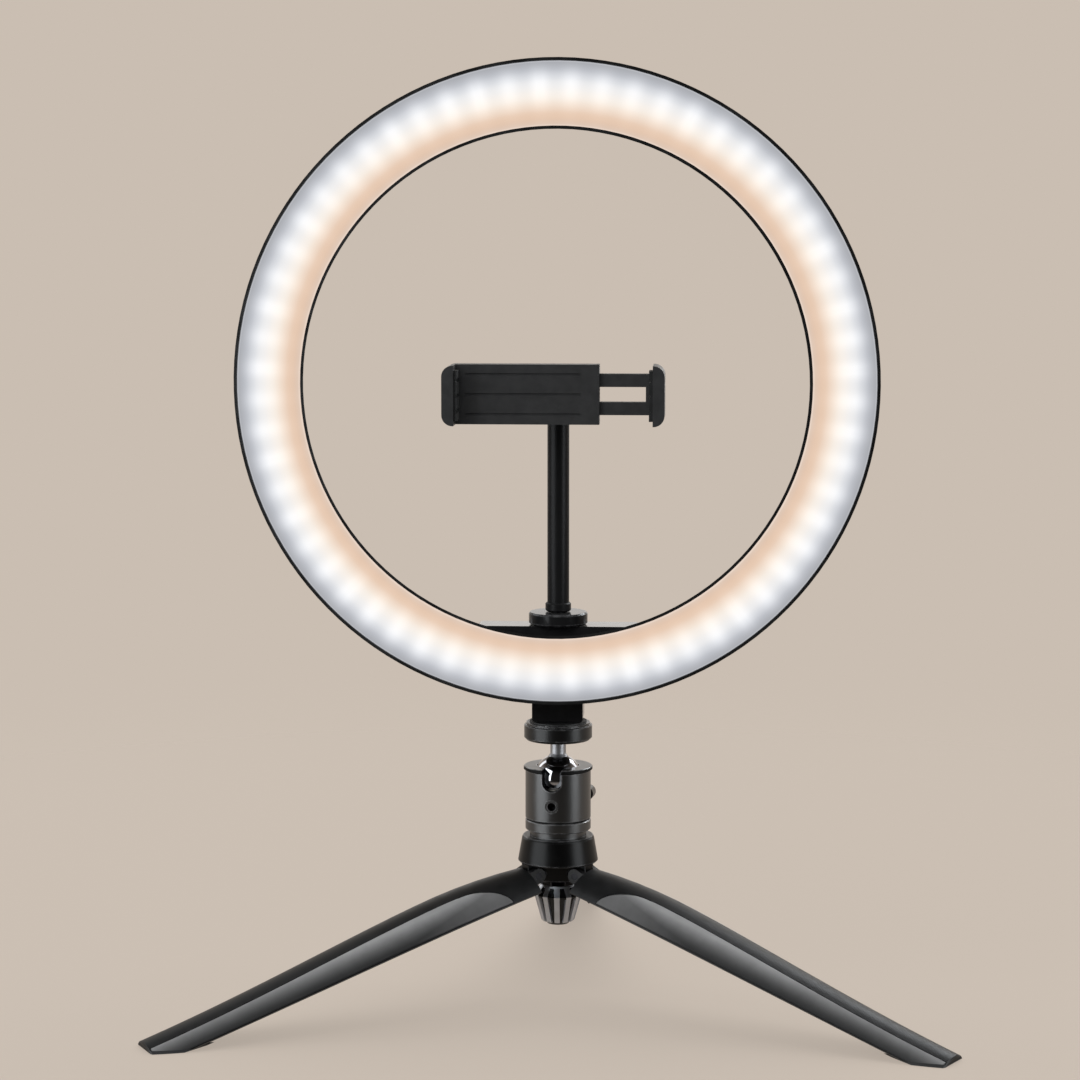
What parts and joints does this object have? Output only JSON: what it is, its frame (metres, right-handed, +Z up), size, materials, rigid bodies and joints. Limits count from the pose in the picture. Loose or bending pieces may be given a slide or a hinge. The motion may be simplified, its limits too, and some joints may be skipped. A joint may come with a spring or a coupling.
{
  "type": "ring light",
  "caption": "Dimmable ring lamp with opal diffuser on a folding table tripod, with ball head and a spring phone holder on a rod inside the ring.",
  "frame": {"origin": "centre of the footprint at floor level, under the middle of the whole part's plan box", "axes": "+Z up along the tripod's axis, the longest way; the lamp and the phone holder face -Y; +X is to the right seen from the front"},
  "size_m": [0.323, 0.2808, 0.387],
  "materials": {
    "black_metal": "satin black powder coat",
    "hinge_plastic": "glass-filled nylon, matte",
    "steel": "turned steel, satin",
    "knob_plastic": "moulded, semi-matte",
    "rib_grey": "grey, fine matte",
    "leg_plastic": "moulded, semi-gloss black",
    "grip_grey": "soft grey overmould, matte",
    "foot_rubber": "black rubber, matte",
    "head_metal": "satin black anodised look",
    "ball_chrome": "polished chrome plate",
    "seat_nylon": "natural nylon",
    "pad_rubber": "black rubber, fine matte",
    "bracket_plastic": "moulded, fine texture",
    "brass": "turned",
    "housing_plastic": "moulded ABS, fine texture",
    "screw_zinc": "zinc plated",
    "board_white": "white solder mask",
    "led_cool": "clear over white chip",
    "led_warm": "yellow phosphor chip",
    "opal": "opal diffusing polycarbonate, satin",
    "gland_rubber": "black, matte",
    "wheel_metal": "black anodised, bright top",
    "rod_metal": "satin black",
    "clip_plastic": "moulded ABS, semi-matte"
  },
  "bodies": {
    "tripod": {"hub_collar": "black_metal", "hinge_core": "hinge_plastic", "hinge_pins": "steel", "head_base": "head_metal"},
    "leg_left_body": {"leg_left": "leg_plastic", "grips_left": "grip_grey", "foot_left": "foot_rubber"},
    "leg_right_body": {"leg_right": "leg_plastic", "grips_right": "grip_grey", "foot_right": "foot_rubber"},
    "leg_back_body": {"leg_back": "leg_plastic", "grips_back": "grip_grey", "foot_back": "foot_rubber"},
    "centre_knob": {"knob_core": "knob_plastic", "knob_ribs": "rib_grey", "centre_screw": "steel"},
    "head": {"head_body": "head_metal", "ball_seat": "seat_nylon", "seat_screw": "black_metal"},
    "clamp": {"clamp_knob": "knob_plastic", "clamp_screw": "steel"},
    "ball": {"ball_stud": "ball_chrome", "platform": "head_metal", "platform_pad": "pad_rubber"},
    "lamp": {"lamp_bracket": "bracket_plastic", "bracket_screws": "screw_zinc", "lower_insert": "brass", "upper_insert": "brass", "rear_housing": "housing_plastic", "housing_screws": "screw_zinc", "board_nuts": "screw_zinc", "led_board": "board_white", "leds_cool": "led_cool", "leds_warm": "led_warm", "diffuser": "opal", "cable_gland": "gland_rubber"},
    "wheel": {"lock_wheel": "wheel_metal"},
    "rod": {"rod_stud": "steel", "holder_rod": "rod_metal"},
    "nut": {"socket_nut": "clip_plastic"},
    "clip": {"clip_body": "clip_plastic", "fixed_pad": "pad_rubber", "jaw_spring": "steel"},
    "jaw": {"jaw_slider": "clip_plastic", "moving_pad": "pad_rubber"}
  },
  "joints": [
    {"name": "leg_left_fold", "type": "hinge", "parent": "tripod", "child": "leg_left_body", "pos_m": [-0.01039, -0.04831, 0.0526], "axis": [0.5, -0.866, 0], "range_deg": [0, 73.2]},
    {"name": "leg_right_fold", "type": "hinge", "parent": "tripod", "child": "leg_right_body", "pos_m": [0.01039, -0.04831, 0.0526], "axis": [0.5, 0.866, 0], "range_deg": [0, 73.2]},
    {"name": "leg_back_fold", "type": "hinge", "parent": "tripod", "child": "leg_back_body", "pos_m": [0, -0.03031, 0.0526], "axis": [-1, 0, 0], "range_deg": [0, 73.2]},
    {"name": "centre_knob_spin", "type": "hinge", "parent": "tripod", "child": "centre_knob", "pos_m": [0, -0.04231, 0.0317], "axis": [0, 0, 1], "continuous": true},
    {"name": "head_pan", "type": "hinge", "parent": "tripod", "child": "head", "pos_m": [0, -0.04231, 0.0752], "axis": [0, 0, 1], "continuous": true},
    {"name": "clamp_spin", "type": "hinge", "parent": "head", "child": "clamp", "pos_m": [0.00313, -0.02256, 0.0822], "axis": [0.1564, 0.9877, 0], "continuous": true},
    {"name": "ball_tilt", "type": "hinge", "parent": "head", "child": "ball", "pos_m": [0, -0.04231, 0.0924], "axis": [0.9877, -0.1564, 0], "range_deg": [-35, 60]},
    {"name": "lamp_swivel", "type": "hinge", "parent": "ball", "child": "lamp", "pos_m": [0, -0.04231, 0.1163], "axis": [0, 0, 1], "continuous": true},
    {"name": "lock_wheel_spin", "type": "hinge", "parent": "lamp", "child": "wheel", "pos_m": [0, -0.04231, 0.1568], "axis": [0, 0, 1], "continuous": true},
    {"name": "rod_turn", "type": "hinge", "parent": "lamp", "child": "rod", "pos_m": [0, -0.04231, 0.1621], "axis": [0, 0, 1], "continuous": true},
    {"name": "holder_nod", "type": "hinge", "parent": "rod", "child": "nut", "pos_m": [0, -0.05931, 0.2536], "axis": [1, 0, 0], "range_deg": [-30, 15]},
    {"name": "holder_roll", "type": "hinge", "parent": "nut", "child": "clip", "pos_m": [0, -0.05931, 0.2536], "axis": [0, 1, 0], "continuous": true},
    {"name": "jaw_slide", "type": "slide", "parent": "clip", "child": "jaw", "axis": [1, 0, 0], "range_m": [-0.02, 0.012], "deforming": ["jaw_spring"]}
  ]
}
